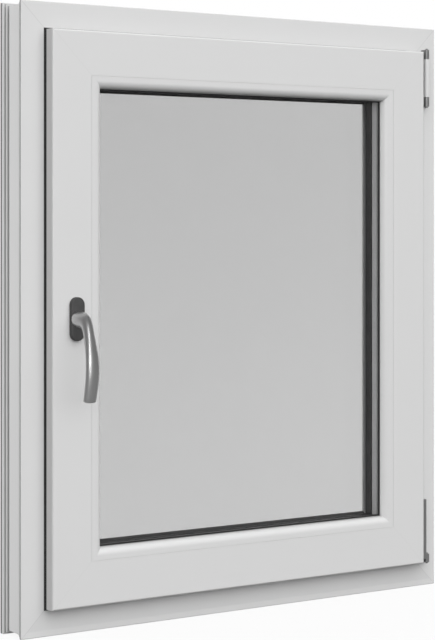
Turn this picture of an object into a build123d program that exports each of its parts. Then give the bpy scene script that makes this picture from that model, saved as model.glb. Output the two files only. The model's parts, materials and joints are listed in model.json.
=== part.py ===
from build123d import *
import os

# Tilt and turn window seen from the room: +X right, +Y to the outside, +Z up.
# A section is drawn with x running in from the outer edge and y running out through the wall.

# Outer frame
WIDTH, HEIGHT = 800, 940
FRAME_DEPTH = 62
FRAME_FACE = 49  # width of the room face
FRAME_LIP = 19  # outer lip that the closed sash shuts against
FRAME_LIP_THICKNESS = 12
ARRIS = 1.2  # rounding of the frame's sharp edges
DRIP = 6  # how far the outer edges slope

# Side of the frame that faces the wall: a front edge, a cove and two steps up to the rear land
EDGE_LAND = 3
COVE_DEPTH = 5.5
COVE_RADIUS = 46
STEP_DEPTH, STEP_WIDTH = 3, 5
FOOT_WIDTH, FOOT_DEPTH = 3, 2.5  # groove at the foot of each step
SEAT_LAND = 9  # rear land, behind the steps

# Sash
OVERLAP = 8  # the sash covers this much of the frame's face
SASH_PROUD = 22  # the sash face stands this far into the room
FLANGE = 18  # thickness of the overlapping flange
LIP_GAP = 4  # between the sash and the frame's outer lip, filled by the frame seal
REBATE_GAP = 12  # hardware gap between frame and sash body
SASH_FACE = 67  # outer edge to the bead joint
SASH_ARRIS = 3
LEG_THICKNESS = 9  # outer leg of the glazing rebate

# Glazing: three panes, two spacers, a bead on the room side
PANE = 4
GLASS_CLEARANCE = 5  # round the edge of the glass
BEAD_JOINT, JOINT_DEPTH = 0.4, 0.7  # groove that shows between sash and bead
BEAD_FLAT = 13
BEAD_SLOPE = 6
BEAD_DEPTH = 13
BEAD_ROUND = 5
BEAD_NOSE = 2
SEAL_THICKNESS = 3
SEAL_BEYOND = 2.2  # the inner glazing seal shows past the bead
OUTER_SEAL_BEYOND = 3
SEAL_COVER = 9
SPACER_HEIGHT = 14
LIP_BEYOND = 2.3  # the flange seal shows past the sash edge
FLANGE_SEAL_SEAT = (1, 6)
SEAL_SIDE_GAP = 1  # the frame seal stays this far from the edges beside it

# Handle
HANDLE_HEIGHT = HEIGHT / 2
ROSETTE_WIDTH, ROSETTE_HEIGHT, ROSETTE_THICKNESS = 23, 65, 7
ROSETTE_CHAMFER = 1.2
HANDLE_GAP = 0.3
SPINDLE = 7
SPINDLE_REACH = 28  # into the sash
SPINDLE_BORE = 6.5  # radius

# Hinges, on the right
PIN_FROM_SASH = 12.9  # pin axis to the sash edge
PIN_FROM_FRAME = 13  # pin axis to the frame face
KNUCKLE_RADIUS = 4.3
SLEEVE_WALL = 0.6
PIN_RADIUS = 2
PIN_END = 2  # the pins stand out this far
FIT = 0.1
HINGE_GAP = 0.3
WEB = 5
PLATE_WIDTH, PLATE_THICKNESS = 18, 3
ARM_HEIGHT, ARM_THICKNESS = 15.5, 2.5
ARM_RISE = 4  # the upper hinge stands this far above the sash
ARM_BELOW = 1  # the arm itself stays this far below the top of the sash
SLEEVE_HEIGHT = 63.5
BEARING_FOOT = 16
BAND_HEIGHT, BAND_THICKNESS, BAND_DEPTH = 100, 7.2, 14
BAND_KNUCKLE = 7
BAND_SETBACK = 3  # behind the sash face
CORNER_HEIGHT = 6.5

# Derived from the sizes above
SASH_INSET = FRAME_FACE - OVERLAP
FLANGE_GAP = SASH_PROUD - FLANGE
LIP_FRONT = FRAME_DEPTH - FRAME_LIP_THICKNESS
SASH_BACK = LIP_FRONT - LIP_GAP
BODY_START = OVERLAP + REBATE_GAP
BEAD_BACK = BEAD_DEPTH - SASH_PROUD
GLASS_FRONT = BEAD_BACK + SEAL_THICKNESS
LEG_FRONT = SASH_BACK - LEG_THICKNESS
GLASS_BACK = LEG_FRONT - SEAL_THICKNESS
CAVITY = (GLASS_BACK - GLASS_FRONT - 3 * PANE) / 2
SIGHT_LINE = SASH_FACE + BEAD_FLAT + BEAD_SLOPE
GLASS_EDGE = SASH_FACE + GLASS_CLEARANCE
SEAT_CENTRE = FRAME_DEPTH - SEAT_LAND / 2
ROOM_FACE = -SEAT_CENTRE  # where the frame's room face lies along Y

PIN_X = WIDTH / 2 - SASH_INSET + PIN_FROM_SASH
PIN_Y = ROOM_FACE - PIN_FROM_FRAME
arm_bottom = HEIGHT - SASH_INSET + ARM_RISE - ARM_HEIGHT

OUTWARD = {
    "bottom": Vector(0, 0, -1),
    "top": Vector(0, 0, 1),
    "left": Vector(-1, 0, 0),
    "right": Vector(1, 0, 0),
}
CENTRE = Vector(0, ROOM_FACE, HEIGHT / 2)

os.makedirs("parts", exist_ok=True)


def save(piece, name):
    piece.part.label = name
    export_step(piece.part, f"parts/{name}.step")


def half_size(side, inset):
    """Distance from the window's centre out to one side of a rectangle."""
    return (HEIGHT if side in ("bottom", "top") else WIDTH) / 2 - inset


def side_plane(side, inset):
    """Section plane at the middle of one side: x runs in, y runs out through the wall."""
    outward = OUTWARD[side]
    origin = CENTRE + outward * half_size(side, inset)
    return Plane(origin=origin, x_dir=-outward, z_dir=(-outward).cross(Vector(0, 1, 0)))


def mitred_length(side, inset, profile):
    """One straight length of a rectangle, cut at 45 degrees at both ends."""
    plane = side_plane(side, inset)
    reach = half_size("left" if side in ("bottom", "top") else "top", inset)
    with BuildPart() as bar:
        extrude(profile(plane), amount=reach, both=True)
        for end in (1, -1):
            along = plane.z_dir * end
            cut = Plane(origin=plane.origin + along * reach, z_dir=-along - plane.x_dir)
            split(bisect_by=cut, keep=Keep.TOP)
    return bar


def facing_plane(depth):
    """Plane parallel to the window, at a depth behind the frame's room face."""
    return Plane(CENTRE + Vector(0, depth, 0), x_dir=(1, 0, 0), z_dir=(0, 1, 0))


def ring(inset, near, far, front, back):
    """Flat rectangular ring between two insets, from front to back through the wall."""
    with BuildPart() as band:
        with BuildSketch(facing_plane(front)):
            Rectangle(WIDTH - 2 * (inset + near), HEIGHT - 2 * (inset + near))
            Rectangle(WIDTH - 2 * (inset + far), HEIGHT - 2 * (inset + far), mode=Mode.SUBTRACT)
        extrude(amount=back - front)
    return band


# Outer frame
def frame_profile(plane):
    upper_step = FRAME_DEPTH - SEAT_LAND
    lower_step = upper_step - STEP_WIDTH
    lip_edge = FRAME_FACE + FRAME_LIP
    cove_end = EDGE_LAND + (COVE_RADIUS**2 - (COVE_RADIUS - COVE_DEPTH) ** 2) ** 0.5
    with BuildSketch(plane) as profile:
        with BuildLine():
            Polyline(
                (0, EDGE_LAND),
                (0, 0),
                (FRAME_FACE, 0),
                (FRAME_FACE, LIP_FRONT),
                (lip_edge, LIP_FRONT),
                (lip_edge, FRAME_DEPTH - DRIP),
                (lip_edge - DRIP, FRAME_DEPTH),
                (0, FRAME_DEPTH),
                (0, upper_step),
                (STEP_DEPTH + FOOT_DEPTH, upper_step),
                (STEP_DEPTH + FOOT_DEPTH, upper_step - FOOT_WIDTH),
                (STEP_DEPTH, upper_step - FOOT_WIDTH),
                (STEP_DEPTH, lower_step),
                (COVE_DEPTH + FOOT_DEPTH, lower_step),
                (COVE_DEPTH + FOOT_DEPTH, lower_step - FOOT_WIDTH),
                (COVE_DEPTH, lower_step - FOOT_WIDTH),
                (COVE_DEPTH, cove_end),
            )
            RadiusArc((COVE_DEPTH, cove_end), (0, EDGE_LAND), COVE_RADIUS)
        make_face()
        arrises = [v for v in profile.vertices() if v.Y < ARRIS / 2]
        fillet(arrises, ARRIS)
    return profile.sketch


for side, name in {
    "top": "frame_head",
    "bottom": "frame_sill",
    "left": "frame_jamb_left",
    "right": "frame_jamb_right",
}.items():
    save(mitred_length(side, 0, frame_profile), name)


# Sash
def sash_profile(plane):
    leg_edge = SIGHT_LINE
    with BuildSketch(plane) as profile:
        with BuildLine():
            Polyline(
                (0, -SASH_PROUD),
                (SASH_FACE, -SASH_PROUD),
                (SASH_FACE, LEG_FRONT),
                (leg_edge, LEG_FRONT),
                (leg_edge, SASH_BACK - DRIP),
                (leg_edge - DRIP, SASH_BACK),
                (BODY_START, SASH_BACK),
                (BODY_START, -FLANGE_GAP),
                (0, -FLANGE_GAP),
                close=True,
            )
        make_face()
        fillet(profile.vertices().sort_by_distance((0, -SASH_PROUD, 0))[0], SASH_ARRIS)
    return profile.sketch


for side, name in {
    "top": "sash_rail_top",
    "bottom": "sash_rail_bottom",
    "right": "sash_stile_right",
}.items():
    save(mitred_length(side, SASH_INSET, sash_profile), name)

handle_x = -WIDTH / 2 + SASH_INSET + (SASH_FACE + BEAD_FLAT) / 2
sash_room_face = ROOM_FACE - SASH_PROUD
handle_plane = Plane((handle_x, sash_room_face, HANDLE_HEIGHT), x_dir=(1, 0, 0), z_dir=(0, -1, 0))

with BuildPart() as sash_stile_left:
    add(mitred_length("left", SASH_INSET, sash_profile).part)
    with BuildSketch(handle_plane):
        Circle(SPINDLE_BORE)
    extrude(amount=-SPINDLE_REACH - SPINDLE / 2, mode=Mode.SUBTRACT)
save(sash_stile_left, "sash_stile_left")


# Glazing beads
def bead_profile(plane):
    joint_edge = SASH_FACE + BEAD_JOINT
    joint_bottom = JOINT_DEPTH - SASH_PROUD
    with BuildSketch(plane) as profile:
        with BuildLine():
            Polyline(
                (SASH_FACE, joint_bottom),
                (joint_edge, joint_bottom),
                (joint_edge, -SASH_PROUD),
                (SASH_FACE + BEAD_FLAT, -SASH_PROUD),
                (SIGHT_LINE, BEAD_BACK - BEAD_NOSE),
                (SIGHT_LINE, BEAD_BACK),
                (SASH_FACE, BEAD_BACK),
                close=True,
            )
        make_face()
        shoulder = (SASH_FACE + BEAD_FLAT, -SASH_PROUD, 0)
        fillet(profile.vertices().sort_by_distance(shoulder)[0], BEAD_ROUND)
    return profile.sketch


for side in OUTWARD:
    save(mitred_length(side, SASH_INSET, bead_profile), f"bead_{side}")

# Panes and spacers
for i, name in enumerate(("pane_inner", "pane_middle", "pane_outer")):
    front = GLASS_FRONT + i * (PANE + CAVITY)
    with BuildPart() as pane:
        with BuildSketch(facing_plane(front)):
            Rectangle(
                WIDTH - 2 * (SASH_INSET + GLASS_EDGE), HEIGHT - 2 * (SASH_INSET + GLASS_EDGE)
            )
        extrude(amount=PANE)
    save(pane, name)

for i, name in enumerate(("spacer_inner", "spacer_outer")):
    front = GLASS_FRONT + PANE + i * (PANE + CAVITY)
    edge = GLASS_EDGE + SPACER_HEIGHT
    save(ring(SASH_INSET, GLASS_EDGE, edge, front, front + CAVITY), name)

# Seals
inner_edge = SIGHT_LINE + SEAL_BEYOND
outer_edge = SIGHT_LINE + OUTER_SEAL_BEYOND
save(ring(SASH_INSET, inner_edge - SEAL_COVER, inner_edge, BEAD_BACK, GLASS_FRONT), "glazing_seal_inner")
save(ring(SASH_INSET, outer_edge - SEAL_COVER, outer_edge, GLASS_BACK, LEG_FRONT), "glazing_seal_outer")
seal_outer = BODY_START + SEAL_SIDE_GAP
seal_inner = FRAME_FACE + FRAME_LIP - SASH_INSET - SEAL_SIDE_GAP
save(ring(SASH_INSET, seal_outer, seal_inner, SASH_BACK, LIP_FRONT), "frame_seal")

# Seal under the sash flange, with a lip that slopes out to the frame face
seal_start, seal_end = FLANGE_SEAL_SEAT
with BuildPart() as sash_seal:
    for front, near in ((-FLANGE_GAP, seal_start), (0, -LIP_BEYOND)):
        with BuildSketch(facing_plane(front)):
            Rectangle(WIDTH - 2 * (SASH_INSET + near), HEIGHT - 2 * (SASH_INSET + near))
    loft()
    with BuildSketch(facing_plane(0)):
        Rectangle(WIDTH - 2 * (SASH_INSET + seal_end), HEIGHT - 2 * (SASH_INSET + seal_end))
    extrude(amount=-FLANGE_GAP, mode=Mode.SUBTRACT)
    with BuildSketch(Plane.XY.offset(arm_bottom - HINGE_GAP)):
        with Locations((WIDTH / 2 - SASH_INSET, ROOM_FACE - FLANGE_GAP / 2)):
            Rectangle(2 * (BODY_START + HINGE_GAP), 2 * FLANGE_GAP)
    extrude(amount=ARM_HEIGHT + 2 * HINGE_GAP, mode=Mode.SUBTRACT)
save(sash_seal, "sash_seal")

# Handle rosette
with BuildPart() as handle_rosette:
    with BuildSketch(handle_plane):
        SlotOverall(ROSETTE_HEIGHT, ROSETTE_WIDTH, rotation=90)
        Circle(SPINDLE_BORE, mode=Mode.SUBTRACT)
    extrude(amount=ROSETTE_THICKNESS)
    front_edges = handle_rosette.faces().sort_by(Axis.Y)[0].outer_wire().edges()
    chamfer(front_edges, ROSETTE_CHAMFER)
save(handle_rosette, "handle_rosette")

# Handle lever: oval sections along a path that leaves the rosette, turns down and bows into the room.
# Each row is distance from the rosette, height, width and thickness.
LEVER = (
    (0, 0, 25, 25),
    (7, -0.8, 22.5, 24.6),
    (13.5, -2, 19.5, 24.6),
    (20.5, -4, 16.5, 23.5),
    (26.5, -10.5, 15, 19),
    (31.2, -22, 14.2, 15),
    (36, -37, 15.8, 13.4),
    (39.7, -53, 18.8, 13),
    (41.7, -70, 20.6, 13),
    (39.5, -91, 20, 13),
    (32.2, -117, 19.8, 13),
)
LEVER_END_TILT = 107  # down from level, in degrees
LEVER_SECTIONS = 24
LEVER_TIP = ((1.3, 0.4), (2.4, 1.3), (3, 2.8))  # distance past the last section and inset
lever_base = ROSETTE_THICKNESS + HANDLE_GAP
into_room = Vector(0, -1, 0)
spots = [
    Vector(handle_x, sash_room_face - lever_base - out, HANDLE_HEIGHT + up) for out, up, _, _ in LEVER
]
with BuildLine() as lever_line:
    path = Spline(*spots, tangents=(into_room, into_room.rotate(Axis.X, LEVER_END_TILT)))
row_places = [path.param_at_point(spot) for spot in spots]


def lever_size(place):
    """Width and thickness at a place along the path, from the rows on either side of it."""
    row = max(i for i, start in enumerate(row_places[:-1]) if i == 0 or start <= place)
    share = (place - row_places[row]) / (row_places[row + 1] - row_places[row])
    (wide, thick), (next_wide, next_thick) = LEVER[row][2:], LEVER[row + 1][2:]
    return wide + (next_wide - wide) * share, thick + (next_thick - thick) * share


with BuildPart() as handle_lever:
    for i in range(LEVER_SECTIONS + 1):
        place = i / LEVER_SECTIONS
        wide, thick = lever_size(place)
        end_plane = Plane(path.position_at(place), x_dir=(1, 0, 0), z_dir=path.tangent_at(place))
        with BuildSketch(end_plane):
            Ellipse(wide / 2, thick / 2)
    for step, inset in LEVER_TIP:
        with BuildSketch(end_plane.offset(step)):
            Ellipse(wide / 2 - inset, thick / 2 - inset)
    loft(ruled=True)
save(handle_lever, "handle_lever")

# Spindle
with BuildPart() as handle_spindle:
    with BuildSketch(handle_plane.offset(lever_base)):
        Rectangle(SPINDLE, SPINDLE)
    extrude(amount=-lever_base - SPINDLE_REACH)
save(handle_spindle, "handle_spindle")

# Hinges: each piece is a knuckle round the pin axis with a web towards what carries it
def knuckle(bottom, height, web_depth):
    """Bored knuckle on the pin axis, with a web that runs back towards the frame face."""
    with BuildPart() as piece:
        with BuildSketch(Plane.XY.offset(bottom)):
            with Locations((PIN_X, PIN_Y)):
                Circle(KNUCKLE_RADIUS)
            with Locations((PIN_X, PIN_Y + web_depth / 2)):
                Rectangle(WEB, web_depth)
            with Locations((PIN_X, PIN_Y)):
                Circle(PIN_RADIUS + FIT, mode=Mode.SUBTRACT)
        extrude(amount=height)
    return piece.part


def plan_box(bottom, height, x_range, y_range):
    """Upright block between two X and two Y positions."""
    (left, right), (front, back) = x_range, y_range
    with BuildPart() as block:
        with BuildSketch(Plane.XY.offset(bottom)):
            with Locations(((left + right) / 2, (front + back) / 2)):
                Rectangle(right - left, back - front)
        extrude(amount=height)
    return block.part


def pin(bottom, top):
    with BuildPart() as rod:
        with BuildSketch(Plane.XY.offset(bottom)):
            with Locations((PIN_X, PIN_Y)):
                Circle(PIN_RADIUS)
        extrude(amount=top - bottom)
    return rod


sash_edge = WIDTH / 2 - SASH_INSET
plate_x = (PIN_X - PLATE_WIDTH / 2 + WEB / 2, PIN_X + PLATE_WIDTH / 2 + WEB / 2)
plate_y = (ROOM_FACE - PLATE_THICKNESS, ROOM_FACE)

# Stay arm: from the upper knuckle into the gap under the sash flange
arm_y = (ROOM_FACE - FLANGE_GAP / 2 - ARM_THICKNESS / 2, ROOM_FACE - FLANGE_GAP / 2 + ARM_THICKNESS / 2)
arm_strip = ARM_HEIGHT - ARM_RISE - ARM_BELOW
with BuildPart() as hinge_stay_arm:
    add(knuckle(arm_bottom, ARM_HEIGHT, PIN_FROM_FRAME - FLANGE_GAP / 2))
    add(plan_box(arm_bottom, arm_strip, (sash_edge - BODY_START, PIN_X + WEB / 2), arm_y))
save(hinge_stay_arm, "hinge_stay_arm")

# Upper bearing on the frame, with its sleeve round the upper part of the knuckle
bearing_bottom = arm_bottom - HINGE_GAP - SLEEVE_HEIGHT - BEARING_FOOT
bearing_height = SLEEVE_HEIGHT + BEARING_FOOT
with BuildPart() as hinge_bearing_upper:
    add(knuckle(bearing_bottom, bearing_height, PIN_FROM_FRAME))
    add(plan_box(bearing_bottom, bearing_height, plate_x, plate_y))
save(hinge_bearing_upper, "hinge_bearing_upper")

with BuildPart() as hinge_sleeve:
    with BuildSketch(Plane.XY.offset(bearing_bottom + BEARING_FOOT)):
        with Locations((PIN_X, PIN_Y)):
            Circle(KNUCKLE_RADIUS + SLEEVE_WALL)
            Circle(KNUCKLE_RADIUS, mode=Mode.SUBTRACT)
        with Locations((PIN_X, PIN_Y + KNUCKLE_RADIUS)):
            Rectangle(WEB, 2 * KNUCKLE_RADIUS, mode=Mode.SUBTRACT)
    extrude(amount=SLEEVE_HEIGHT)
save(hinge_sleeve, "hinge_sleeve")
save(pin(bearing_bottom - PIN_END, arm_bottom + ARM_HEIGHT + PIN_END), "hinge_pin_upper")

# Corner bearing on the frame and the band on the sash edge that turns on it
with BuildPart() as corner_bearing:
    add(knuckle(SASH_INSET, CORNER_HEIGHT, PIN_FROM_FRAME))
    add(plan_box(SASH_INSET, CORNER_HEIGHT, plate_x, plate_y))
save(corner_bearing, "corner_bearing")

band_bottom = SASH_INSET + CORNER_HEIGHT + HINGE_GAP
band_front = ROOM_FACE - SASH_PROUD + BAND_SETBACK
with BuildPart() as corner_band:
    with BuildSketch(Plane.XY.offset(band_bottom)):
        with Locations((PIN_X, PIN_Y)):
            Circle(KNUCKLE_RADIUS)
        with Locations(((PIN_X + sash_edge) / 2, PIN_Y)):
            Rectangle(PIN_X - sash_edge, WEB)
        with Locations((PIN_X, PIN_Y)):
            Circle(PIN_RADIUS + FIT, mode=Mode.SUBTRACT)
    extrude(amount=BAND_KNUCKLE)
    band_x = (sash_edge, sash_edge + BAND_THICKNESS)
    add(plan_box(band_bottom, BAND_HEIGHT, band_x, (band_front, band_front + BAND_DEPTH)))
save(corner_band, "corner_band")
save(pin(SASH_INSET - PIN_END, band_bottom + BAND_KNUCKLE + PIN_END), "corner_pin")
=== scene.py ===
import bmesh
import bpy
import json
import math
from mathutils import Matrix, Vector


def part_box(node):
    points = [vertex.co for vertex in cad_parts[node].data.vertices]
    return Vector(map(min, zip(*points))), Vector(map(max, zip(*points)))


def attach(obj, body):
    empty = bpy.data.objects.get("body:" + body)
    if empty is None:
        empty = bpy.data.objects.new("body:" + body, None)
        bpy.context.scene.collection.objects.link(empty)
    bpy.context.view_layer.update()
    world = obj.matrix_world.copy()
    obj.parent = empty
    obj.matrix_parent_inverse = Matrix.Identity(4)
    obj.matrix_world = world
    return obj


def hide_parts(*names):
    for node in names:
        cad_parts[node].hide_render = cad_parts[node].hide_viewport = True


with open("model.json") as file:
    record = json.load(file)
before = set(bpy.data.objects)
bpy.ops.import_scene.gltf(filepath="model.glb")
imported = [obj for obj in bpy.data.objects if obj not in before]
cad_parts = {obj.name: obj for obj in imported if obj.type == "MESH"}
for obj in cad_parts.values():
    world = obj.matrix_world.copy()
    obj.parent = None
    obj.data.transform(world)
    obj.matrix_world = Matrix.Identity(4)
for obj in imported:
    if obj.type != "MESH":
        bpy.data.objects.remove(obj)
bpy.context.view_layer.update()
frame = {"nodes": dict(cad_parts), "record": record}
nodes = frame["nodes"]
print("frame loaded,", len(nodes), "nodes")

# camera: level, turned to the right, with the lens shifted down
camera = {
    "place": (-1.8317, -2.6150, 0.6153),
    "turn": 34.889,  # degrees to the right of straight through the window
    "lens": 111.83,
    "sensor": 36,
    "shift": -0.15486,
}
camData = bpy.data.cameras.new("camera")
camData.lens = camera["lens"]
camData.sensor_width = camera["sensor"]
camData.shift_y = camera["shift"]
camObject = bpy.data.objects.new("camera", camData)
camObject.location = camera["place"]
camObject.rotation_euler = (math.radians(90), 0, math.radians(-camera["turn"]))
bpy.context.collection.objects.link(camObject)
bpy.context.scene.camera = camObject
bpy.context.scene.view_settings.view_transform = "Standard"
print("camera placed")


# shader maths: an expression on Value objects adds Math nodes
class Value:
    def __init__(self, tree, socket):
        self.tree = tree
        self.socket = socket

    def maths(self, operation, first, second=None):
        node = self.tree.nodes.new("ShaderNodeMath")
        node.operation = operation
        for slot, value in enumerate((first, second)):
            if isinstance(value, Value):
                self.tree.links.new(value.socket, node.inputs[slot])
            elif value is not None:
                node.inputs[slot].default_value = value
        return Value(self.tree, node.outputs[0])

    def __add__(self, other): return self.maths("ADD", self, other)
    def __radd__(self, other): return self.maths("ADD", other, self)
    def __sub__(self, other): return self.maths("SUBTRACT", self, other)
    def __rsub__(self, other): return self.maths("SUBTRACT", other, self)
    def __mul__(self, other): return self.maths("MULTIPLY", self, other)
    def __rmul__(self, other): return self.maths("MULTIPLY", other, self)
    def __lt__(self, other): return self.maths("LESS_THAN", self, other)
    def __abs__(self): return self.maths("ABSOLUTE", self)

    def ramp(self, low, high):  # 0 below low, 1 above high, smooth between
        t = self.maths("DIVIDE", self - low, high - low)
        t = self.maths("MINIMUM", self.maths("MAXIMUM", t, 0.0), 1.0)
        return t * t * (3.0 - 2.0 * t)

    def smaller(self, other): return self.maths("MINIMUM", self, other)
    def larger(self, other): return self.maths("MAXIMUM", self, other)


class Tree:
    def __init__(self, tree):
        self.tree = tree

    def node(self, kind, settings=None, **sockets):  # a socket's key is its name, or i and its number
        made = self.tree.nodes.new(kind)
        for key, value in (settings or {}).items():
            setattr(made, key, value)
        for key, value in sockets.items():
            place = int(key[1:]) if key[1:].isdigit() else key.replace("_", " ")
            self.feed(made.inputs[place], value)
        return made

    def feed(self, socket, value):
        if isinstance(value, Value):
            value = value.socket
        if isinstance(value, bpy.types.NodeSocket):
            self.tree.links.new(value, socket)
        else:
            socket.default_value = value

    def blend(self, factor, first, second):
        made = self.node("ShaderNodeMix", {"data_type": "RGBA"}, i0=factor, i6=first, i7=second)
        return made.outputs[2]

    def rays(self):
        path = self.node("ShaderNodeLightPath")
        kinds = ("Is Camera Ray", "Is Transmission Ray", "Is Glossy Ray")
        return [Value(self.tree, path.outputs[kind]) for kind in kinds]


class Finish(Tree):
    def __init__(self, name, **shader):
        self.material = bpy.data.materials.new(name)
        self.material.use_nodes = True
        super().__init__(self.material.node_tree)
        self.shader = self.tree.nodes["Principled BSDF"]
        for key, value in shader.items():
            self.shader.inputs[key.replace("_", " ")].default_value = value
        self.place = self.node("ShaderNodeTexCoord").outputs["Object"]

    def axes(self):
        parts = self.node("ShaderNodeSeparateXYZ", Vector=self.place)
        return [Value(self.tree, parts.outputs[i]) for i in range(3)]

    def outline(self):  # depth, height and how far in from the window's sides and from its ends
        x, y, z = self.axes()
        low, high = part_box("frame_sill")[0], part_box("frame_head")[1]
        across = high.x - abs(x)
        along = (high.z - low.z) / 2 - abs(z - (high.z + low.z) / 2)
        return y, z, across, along

    def noise(self, scale, detail=2.0, roughness=0.5, stretch=None):
        vector = self.place
        if stretch:
            vector = self.node("ShaderNodeMapping", Vector=self.place, Scale=stretch).outputs[0]
        made = self.node("ShaderNodeTexNoise", Vector=vector, Scale=scale, Detail=detail, Roughness=roughness)
        return Value(self.tree, made.outputs["Fac"])

    def tinted(self, level):
        return self.node("ShaderNodeCombineColor", Red=level, Green=level, Blue=level).outputs[0]

    def colour(self, socket):
        self.feed(self.shader.inputs["Base Color"], socket)

    def roughness(self, value):
        self.feed(self.shader.inputs["Roughness"], value)

    def bump(self, height, distance):
        made = self.node("ShaderNodeBump", Height=height, Distance=distance)
        self.feed(self.shader.inputs["Normal"], made.outputs[0])


def grey(level):
    return (level, level, level, 1.0)


plastic = {
    "cloud": 14,
    "cloudTone": 0.985,
    "grain": 900,
    "grainDepth": 0.000006,
    "roughness": (0.26, 0.08, 0.06),  # even, from the grain, from the clouds
    "weldWidth": (0.00036, 0.00084),  # from the weld's full depth to none, metres
    "weldTone": 0.45,
    "weldDepth": 0.00006,
}
# painted shade: darkens towards its tone in the outer side's cove, at the feet of its steps, along its back
# edge and on the sill below the sash
paintedShade = {
    "tone": 0.03,
    "side": (0.008, 0.011),  # how far in the painted shade on the outer side reaches
    "cove": {"start": (0.00072, 0.0012), "end": (0.0066, 0.011), "much": 0.7},
    "foot": {"start": (0.0438, 0.0458), "inset": (0.0032, 0.0052), "much": 0.4},
    "step": {"start": (0.0502, 0.0508), "inset": (0.0008, 0.002), "much": 0.3},
    "back": {"start": (0.0565, 0.0575), "inset": (0.001, 0.002), "much": 0.75},
    "patches": (0.85, 0.3),
    "sill": {"height": 0.05, "much": 0.06},
    "ledge": {"below": (0.0006, 0.0001), "tone": 0.05, "much": 0.55},  # the sash's top edge painted darker, so that less light bounces from it onto the frame's head
    "bead": {"from": 0.0015, "tone": 0.02, "much": 0.4},  # painted shade on the level beads, darker towards the glass
}


# painted shade in the outer side's cove, at the feet of its steps and along its back edge, patchy with the
# grain
def paintedShadeMask(depth, inset, near, grain):
    cove, foot, step, back = (paintedShade[key] for key in ("cove", "foot", "step", "back"))
    mask = depth.ramp(*cove["start"]) * (1.0 - depth.ramp(*cove["end"])) * cove["much"]
    mask = mask.larger(depth.ramp(*foot["start"]) * inset.ramp(*foot["inset"]) * foot["much"])
    mask = mask.larger(depth.ramp(*step["start"]) * inset.ramp(*step["inset"]) * step["much"])
    mask = mask.larger(depth.ramp(*back["start"]) * (1.0 - inset.ramp(*back["inset"])) * back["much"])
    even, patchy = paintedShade["patches"]
    return mask * near * (even + patchy * grain)


def makePlastic(name, tone, welds=0.0, sides=False, ledge=False, bead=False):
    finish = Finish(name, Roughness=0.3, IOR=1.5)
    grain = finish.noise(plastic["grain"], 3.0, 0.6)
    cloud = finish.noise(plastic["cloud"], 2.0)
    y, z, across, along = finish.outline()
    inset, level = across.smaller(along), along < across
    weld = 1.0 - abs(across - along).ramp(*plastic["weldWidth"])
    shade = finish.blend(cloud, grey(tone * plastic["cloudTone"]), grey(tone))
    shade = finish.blend(weld * welds, shade, grey(tone * plastic["weldTone"]))
    # painted shade on the frame's outer side and on the sill below the sash
    if sides:
        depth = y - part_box("frame_sill")[0].y
        near = 1.0 - inset.ramp(*paintedShade["side"])
        sill = level * (z < paintedShade["sill"]["height"]) * (1.0 - near) * paintedShade["sill"]["much"]
        shade = finish.blend(paintedShadeMask(depth, inset, near, grain).larger(sill), shade, grey(paintedShade["tone"]))
    # painted: the sash's top edge darker, so that it bounces less light onto the frame's head
    if ledge:
        ledgeShade, top = paintedShade["ledge"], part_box("sash_rail_top")[1].z
        low, high = (top - gap for gap in ledgeShade["below"])
        shade = finish.blend(z.ramp(low, high) * ledgeShade["much"], shade, grey(ledgeShade["tone"]))
    # painted shade: the level beads darker towards the glass
    if bead:
        low, high = (corner.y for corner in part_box("bead_top"))
        beadShade = level * y.ramp(low + paintedShade["bead"]["from"], high) * paintedShade["bead"]["much"]
        shade = finish.blend(beadShade, shade, grey(paintedShade["bead"]["tone"]))
    finish.colour(shade)
    even, fromGrain, fromCloud = plastic["roughness"]
    finish.roughness(even + grain * fromGrain + cloud * fromCloud)
    finish.bump(grain * plastic["grainDepth"] - weld * plastic["weldDepth"], 1.0)
    return finish.material


glass = {
    "tint": 0.787,
    "low": (0.1, 0.85, 0.03),  # from, to and how much lighter below, a painted reflection
    "right": (-0.35, 0.35, 0.012),  # from, to and how much lighter on the right, a painted reflection
    "wave": (3.0, 0.006, 0.00002),  # scale, tint and depth
    "bend": 1.25,
}


def makeGlass():
    finish = Finish("clearGlass", Roughness=0.0, IOR=glass["bend"], Transmission_Weight=1.0)
    scale, waveTint, waveDepth = glass["wave"]
    wave = finish.noise(scale, 1.0)
    x, y, z = finish.axes()
    bottom, top, lowerLight = glass["low"]
    left, right, rightLight = glass["right"]
    # painted reflection: the glass lighter towards the bottom and towards the right
    tint = glass["tint"] + lowerLight * (1.0 - z.ramp(bottom, top))
    tint = tint + rightLight * x.ramp(left, right) + waveTint * wave
    finish.colour(finish.tinted(tint))
    finish.bump(wave, waveDepth)
    return finish.material


rubber = {
    "grain": 1500,
    "grainDepth": 0.00001,
    "tones": (0.012, 0.03),
    "outerTone": 0.6,  # the seal behind the glass is a paler one
    "edge": 0.001,
    "levelShade": 0.8,  # painted shade: its level lengths darker than its upright ones
    "roughness": (0.5, 0.2),
}


def makeRubber():
    finish = Finish("sealRubber", Roughness=0.6)
    y, z, across, along = finish.outline()
    near, far = (corner.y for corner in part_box("glazing_seal_outer"))
    edge = rubber["edge"]
    grain = finish.noise(rubber["grain"], 2.0)
    pale = y.ramp(near - edge, near) * (1.0 - y.ramp(far, far + edge))
    # painted shade on the seal's level lengths
    pale = pale * (1.0 - rubber["levelShade"] * (along < across))
    darker, lighter = rubber["tones"]
    dark = finish.blend(grain, grey(darker), grey(lighter))
    finish.colour(finish.blend(pale, dark, grey(rubber["outerTone"])))
    even, fromGrain = rubber["roughness"]
    finish.roughness(even + grain * fromGrain)
    finish.bump(grain, rubber["grainDepth"])
    return finish.material


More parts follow.
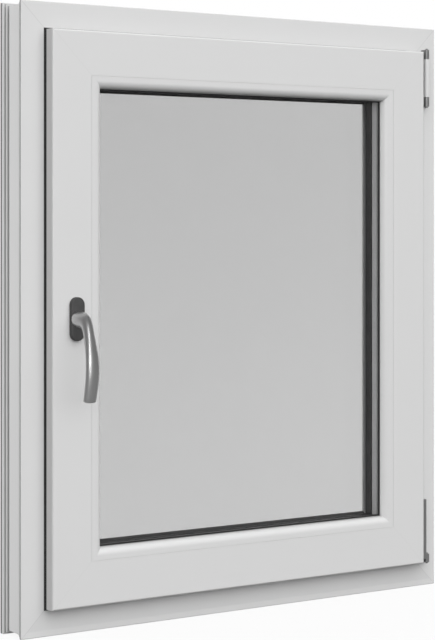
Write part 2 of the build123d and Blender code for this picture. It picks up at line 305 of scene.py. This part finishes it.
spacer = {
    # the outer spacer is painted near black as shade, the inner one pale grey as a painted reflection
    "outer": 0.004,
    "inner": 0.36,
    "change": 0.002,  # metres past the inner spacer where its tone ends
    "levelShade": 0.75,  # painted shade: the level lengths darker than the upright ones
    "line": 0.0008,  # half width of the lines rolled along the spacer
    "lineAway": 0.0045,  # from the spacer's middle
    "lineLoss": 0.5,
    "lineDepth": 0.0001,
    "grain": 700,
    "grainDepth": 0.00001,
    "patches": (0.85, 0.3),
    "roughness": (0.35, 0.15),
}


def makeSpacer():
    finish = Finish("spacerSteel", Metallic=0.0, Roughness=0.5, Specular_IOR_Level=0.2)
    y, z, across, along = finish.outline()
    near, far = (corner.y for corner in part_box("spacer_inner"))
    grain = finish.noise(spacer["grain"], 2.0)
    inner = 1.0 - y.ramp(far, far + spacer["change"])
    away = abs(abs(y - (near + far) / 2) - spacer["lineAway"])
    lines = 1.0 - away.ramp(0.0, spacer["line"])
    even, patchy = spacer["patches"]
    # painted light: pale inner spacer as reflection, near-black outer spacer and darker level lengths as
    # shade
    tone = spacer["outer"] + inner * (spacer["inner"] - spacer["outer"]) * (even + patchy * grain)
    tone = tone * (1.0 - spacer["lineLoss"] * lines) * (1.0 - spacer["levelShade"] * (along < across))
    finish.colour(finish.tinted(tone))
    even, fromGrain = spacer["roughness"]
    finish.roughness(even + grain * fromGrain)
    finish.bump(grain * spacer["grainDepth"] - lines * spacer["lineDepth"], 1.0)
    return finish.material


cast = {"grain": 1400, "grainDepth": 0.000012, "cloud": 60, "roughness": (-0.06, 0.12)}
satin = {
    "tones": (0.6, 0.68),
    "cloud": 40,
    "brushed": {"scale": 1200, "stretch": (1.0, 1.0, 0.05), "depth": 0.000008},
    "roughness": (0.34, 0.1),
}


def makeCast(name, low, high, metal, rough):
    finish = Finish(name, Metallic=metal, Roughness=rough)
    grain = finish.noise(cast["grain"], 2.0)
    cloud = finish.noise(cast["cloud"], 2.0)
    finish.colour(finish.blend(cloud, grey(low), grey(high)))
    even, fromGrain = cast["roughness"]
    finish.roughness(rough + even + grain * fromGrain)
    finish.bump(grain, cast["grainDepth"])
    return finish.material


def makeSatin():
    finish = Finish("satinMetal", Metallic=1.0, Roughness=0.4)
    lines = satin["brushed"]
    brushed = finish.noise(lines["scale"], 2.0, 0.6, stretch=lines["stretch"])
    cloud = finish.noise(satin["cloud"], 2.0)
    low, high = satin["tones"]
    finish.colour(finish.blend(cloud, grey(low), grey(high)))
    even, fromBrushing = satin["roughness"]
    finish.roughness(even + brushed * fromBrushing)
    finish.bump(brushed, lines["depth"])
    return finish.material


finishes = {
    "frame_upvc": makePlastic("framePlastic", 0.68, welds=0.25, sides=True),
    "sash_upvc": makePlastic("sashPlastic", 0.68, welds=0.06, ledge=True),
    "bead_upvc": makePlastic("beadPlastic", 0.68, bead=True),
    "hinge_white": makePlastic("sleevePlastic", 0.7),
    "glass": makeGlass(),
    "seal": makeRubber(),
    "spacer": makeSpacer(),
    "rosette": makeCast("rosetteDark", 0.052, 0.075, 0.1, 0.5),
    "hinge_metal": makeCast("hingeZinc", 0.24, 0.32, 0.6, 0.42),
    "lever": makeSatin(),
}
for part in frame["record"]["subparts"]:
    piece = nodes[part["node"]]
    piece.data.materials.clear()
    piece.data.materials.append(finishes[part["material_slot"]])
    if part["material_slot"] == "glass":
        piece.visible_shadow = False
print("finishes made")


# swaps a plain CAD node for a finer piece on the same body
def addPiece(name, bm, node, slot, body="window", sharp=None):
    bmesh.ops.remove_doubles(bm, verts=bm.verts, dist=0.00001)
    bmesh.ops.recalc_face_normals(bm, faces=bm.faces)
    for face in bm.faces:
        face.smooth = True
    mesh = bpy.data.meshes.new(name)
    bm.to_mesh(mesh)
    bm.free()
    if sharp:
        mesh.set_sharp_from_angle(angle=math.radians(sharp))
    mesh.materials.append(finishes[slot])
    piece = bpy.data.objects.new(name, mesh)
    bpy.context.collection.objects.link(piece)
    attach(piece, body)
    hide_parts(node)
    return piece


def pushOut(bm, vec):  # extrudes every face by vec
    grown = bmesh.ops.extrude_face_region(bm, geom=bm.faces[:])["geom"]
    moved = [item for item in grown if isinstance(item, bmesh.types.BMVert)]
    bmesh.ops.translate(bm, verts=moved, vec=vec)


bead = {
    "start": 0.108,  # inset of the joint with the sash, from the window's outline
    "joint": (0.0004, 0.0007),  # width and depth of the groove beside the sash
    "curve": (0.012, 0.011),  # how far in and how deep the rounded part goes
    "steps": 12,
    "sharp": 30,
}


def beadProfile(bm):  # in the YZ plane: depth and inset
    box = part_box("bead_top")
    front, back = box[0].y, box[1].y
    start, end = bead["start"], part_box("frame_head")[1].z - box[0].z
    wide, deep = bead["joint"]
    inward, down = bead["curve"]
    first = bm.verts.new((0.0, -1.0, 0.0))
    arc = bmesh.ops.spin(bm, geom=[first], cent=(0, 0, 0), axis=(-1, 0, 0), dvec=(0, 0, 0),
                         angle=math.pi / 2, steps=bead["steps"], use_merge=False)["geom_last"]
    last = next(item for item in arc if isinstance(item, bmesh.types.BMVert))
    bmesh.ops.scale(bm, verts=bm.verts, vec=(1.0, down, inward))
    bmesh.ops.translate(bm, verts=bm.verts, vec=(0.0, front + down, end - inward))
    corners = [(front, start + wide), (front + deep, start + wide), (front + deep, start)]
    corners += [(back, start), (back, end)]
    chain = [first] + [bm.verts.new((0.0, y, inset)) for y, inset in corners] + [last]
    for one, other in zip(chain, chain[1:]):
        bm.edges.new((one, other))
    bmesh.ops.contextual_create(bm, geom=bm.edges[:])


def makeBead(side):
    low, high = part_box("frame_sill")[0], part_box("frame_head")[1]
    halfWide, halfHigh = (high.x - low.x) / 2, (high.z - low.z) / 2
    bm = bmesh.new()
    beadProfile(bm)
    pushOut(bm, (1.0, 0.0, 0.0))
    for vert in bm.verts:  # the ends run to the mitres
        inset, end = vert.co.z, 1 if vert.co.x > 0.5 else -1
        if side in ("top", "bottom"):
            x = end * (halfWide - inset)
            z = halfHigh + (halfHigh - inset) * (1 if side == "top" else -1)
        else:
            x = (halfWide - inset) * (1 if side == "right" else -1)
            z = halfHigh + end * (halfHigh - inset)
        vert.co = (x, vert.co.y, z)
    addPiece("bead." + side, bm, "bead_" + side, "bead_upvc", sharp=bead["sharp"])


for side in ("bottom", "left", "right", "top"):
    makeBead(side)
print("beads rounded")

rosette = {
    "radius": 0.0115,
    "reach": 0.021,  # from the handle's axis to the middle of a round end
    "bore": 0.0065,
    "thick": 0.007,
    "rim": 0.0019,
    "segments": 64,
    "sharp": 40,
}


def makeRosette():
    low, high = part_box("handle_rosette")
    bm = bmesh.new()
    upright = Matrix.Rotation(math.radians(90), 4, "X")
    around = {"segments": rosette["segments"], "matrix": upright}
    outline = bmesh.ops.create_circle(bm, radius=rosette["radius"], **around)["verts"]
    for vert in outline:
        vert.co.z += rosette["reach"] if vert.co.z >= 0 else -rosette["reach"]
    bmesh.ops.create_circle(bm, radius=rosette["bore"], **around)
    bmesh.ops.bridge_loops(bm, edges=bm.edges[:])
    pushOut(bm, (0.0, -rosette["thick"], 0.0))
    between = (rosette["radius"] + rosette["bore"]) / 2
    front = [vert for vert in bm.verts if vert.co.y < -rosette["thick"] / 2 and vert.co.xz.length > between]
    rim = [edge for edge in bm.edges if all(vert in front for vert in edge.verts)]
    bmesh.ops.bevel(bm, geom=rim, offset=rosette["rim"], segments=4, profile=0.5, affect="EDGES", material=-1)
    bmesh.ops.translate(bm, verts=bm.verts, vec=((low.x + high.x) / 2, high.y, (low.z + high.z) / 2))
    addPiece("handle.rosette", bm, "handle_rosette", "rosette", sharp=rosette["sharp"])


makeRosette()

lever = {
    # distance from its base, height, width and thickness, in metres
    "rows": (
        (0.0, 0.0, 0.0246, 0.0246),
        (0.0012, 0.0, 0.0250, 0.0250),
        (0.0065, -0.0006, 0.0235, 0.0248),
        (0.0130, -0.0018, 0.0210, 0.0248),
        (0.0195, -0.0042, 0.0180, 0.0235),
        (0.0248, -0.0105, 0.0166, 0.0195),
        (0.0292, -0.0220, 0.0164, 0.0158),
        (0.0340, -0.0370, 0.0180, 0.0142),
        (0.0378, -0.0530, 0.0205, 0.0136),
        (0.0400, -0.0700, 0.0222, 0.0136),
        (0.0385, -0.0910, 0.0220, 0.0136),
        (0.0322, -0.1160, 0.0214, 0.0136),
        (0.0313, -0.1190, 0.0208, 0.0131),
        (0.0309, -0.1202, 0.0186, 0.0108),
    ),
    "straight": 2,  # the first rows face straight into the room
    "segments": 28,
    "cap": 0.001,
    "levels": 2,
}


def makeLever():
    low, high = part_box("handle_lever")
    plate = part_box("handle_rosette")
    base = Vector(((low.x + high.x) / 2, high.y, (plate[0].z + plate[1].z) / 2))
    spots = [base + Vector((0.0, -out, up)) for out, up, wide, thick in lever["rows"]]
    intoRoom = Vector((0.0, -1.0, 0.0))
    upright = Matrix.Rotation(math.radians(90), 4, "X")
    bm = bmesh.new()
    rings = []
    for i, (out, up, wide, thick) in enumerate(lever["rows"]):
        along = spots[min(i + 1, len(spots) - 1)] - spots[max(i - 1, 0)]
        if i < lever["straight"]:
            along = intoRoom
        turn = intoRoom.rotation_difference(along).to_matrix().to_4x4()
        shape = Matrix.Diagonal((wide / 2, thick / 2, 1.0, 1.0))
        ring = bmesh.ops.create_circle(bm, segments=lever["segments"], radius=1.0,
                                       matrix=Matrix.Translation(spots[i]) @ turn @ upright @ shape)["verts"]
        rings.append([edge for edge in bm.edges if all(vert in ring for vert in edge.verts)])
    for first, second in zip(rings, rings[1:]):
        bmesh.ops.bridge_loops(bm, edges=first + second)
    bmesh.ops.holes_fill(bm, edges=[edge for edge in bm.edges if edge.is_boundary])
    caps = [face for face in bm.faces if len(face.verts) == lever["segments"]]
    bmesh.ops.inset_individual(bm, faces=caps, thickness=lever["cap"])
    piece = addPiece("handle.lever", bm, "handle_lever", "lever", body="handle")
    smooth = piece.modifiers.new("smooth", "SUBSURF")
    smooth.levels = smooth.render_levels = lever["levels"]
    piece.visible_shadow = False  # so soft a light leaves almost no shadow of it on the sash


makeLever()
print("handle made")

# studio: pale floor and soft lamps. The camera sees the surround as white and reflections see it grey
studio = {
    "floor": 40.0,  # metres across
    "floorTone": 0.8,
    "floorGlow": 0.9,  # how much of what the camera sees of it is plain white
    "floorBounce": 0.03,
    "floorRoughness": 0.9,
    "ambient": 0.5,
    "gloss": 0.24,
    "middle": (0, 0, 0.47),
    "aim": (-0.32, -0.1),
    "sun": {"height": 28, "turn": 4, "spread": 95, "strength": 3.1, "distance": 4},  # degrees
}
metalPanels = {  # seen only by the metal's reflections
    "front": {"place": (-1.38, -2.48, 0.95), "size": (0.22, 1.1), "power": 17},
    "frontLow": {"place": (-1.38, -2.48, 0.2), "size": (0.22, 0.38), "power": 1.8},
}
lightPanels = {
    "rear": {"place": (-2.6, 1.6, 0.7), "size": (1.2, 1.2), "power": 46},
    "back": {"place": (0.6, 2.8, 1.0), "size": (1.6, 1.6), "power": 24},
}


def makeFloor():
    bm = bmesh.new()
    bmesh.ops.create_grid(bm, x_segments=1, y_segments=1, size=studio["floor"] / 2)
    mesh = bpy.data.meshes.new("floor")
    bm.to_mesh(mesh)
    bm.free()
    floor = bpy.data.objects.new("floor", mesh)
    bpy.context.collection.objects.link(floor)
    finish = Finish("floorWhite", Roughness=studio["floorRoughness"])
    seen, through, gloss = finish.rays()
    finish.colour(finish.blend(seen, grey(studio["floorBounce"]), grey(studio["floorTone"])))
    factor = (seen * studio["floorGlow"]).larger(through).larger(gloss * studio["gloss"])
    glow = finish.node("ShaderNodeEmission")
    mix = finish.node("ShaderNodeMixShader", i0=factor, i1=finish.shader.outputs[0], i2=glow.outputs[0])
    finish.feed(finish.tree.nodes["Material Output"].inputs[0], mix.outputs[0])
    mesh.materials.append(finish.material)


def makeWorld():
    world = bpy.data.worlds.new("surround")
    bpy.context.scene.world = world
    world.use_nodes = True
    surround = Tree(world.node_tree)
    seen, through, gloss = surround.rays()
    white = seen.larger(through)
    dim = studio["ambient"] + gloss * (studio["gloss"] - studio["ambient"])
    backdrop = surround.tree.nodes["Background"]
    surround.feed(backdrop.inputs["Strength"], white + (1.0 - white) * dim)
    surround.feed(backdrop.inputs["Color"], grey(1.0))


def addLamp(name, kind, place, aim):
    lamp = bpy.data.objects.new(name, bpy.data.lights.new(name, kind))
    lamp.location = place
    lamp.rotation_euler = (aim - Vector(place)).to_track_quat("-Z", "Y").to_euler()
    lamp.visible_transmission = False
    bpy.context.collection.objects.link(lamp)
    return lamp


def addPanels(panels, forMetal):
    for name, panel in panels.items():
        lamp = addLamp(name, "AREA", panel["place"], Vector((*studio["aim"], panel["place"][2])))
        lamp.data.shape = "RECTANGLE"
        lamp.data.size, lamp.data.size_y = panel["size"]
        lamp.data.energy = panel["power"]
        lamp.visible_glossy = forMetal
        lamp.visible_diffuse = not forMetal


def makeLamps():
    middle = Vector(studio["middle"])
    sun = studio["sun"]
    high, turn = math.radians(sun["height"]), math.radians(sun["turn"])
    toSun = Vector((-math.sin(turn) * math.cos(high), -math.cos(turn) * math.cos(high), math.sin(high)))
    lamp = addLamp("sun", "SUN", middle + toSun * sun["distance"], middle)
    lamp.data.angle = math.radians(sun["spread"])
    lamp.data.energy = sun["strength"]
    lamp.visible_glossy = False
    addPanels(metalPanels, True)
    addPanels(lightPanels, False)


makeFloor()
makeWorld()
makeLamps()
print("studio lit")
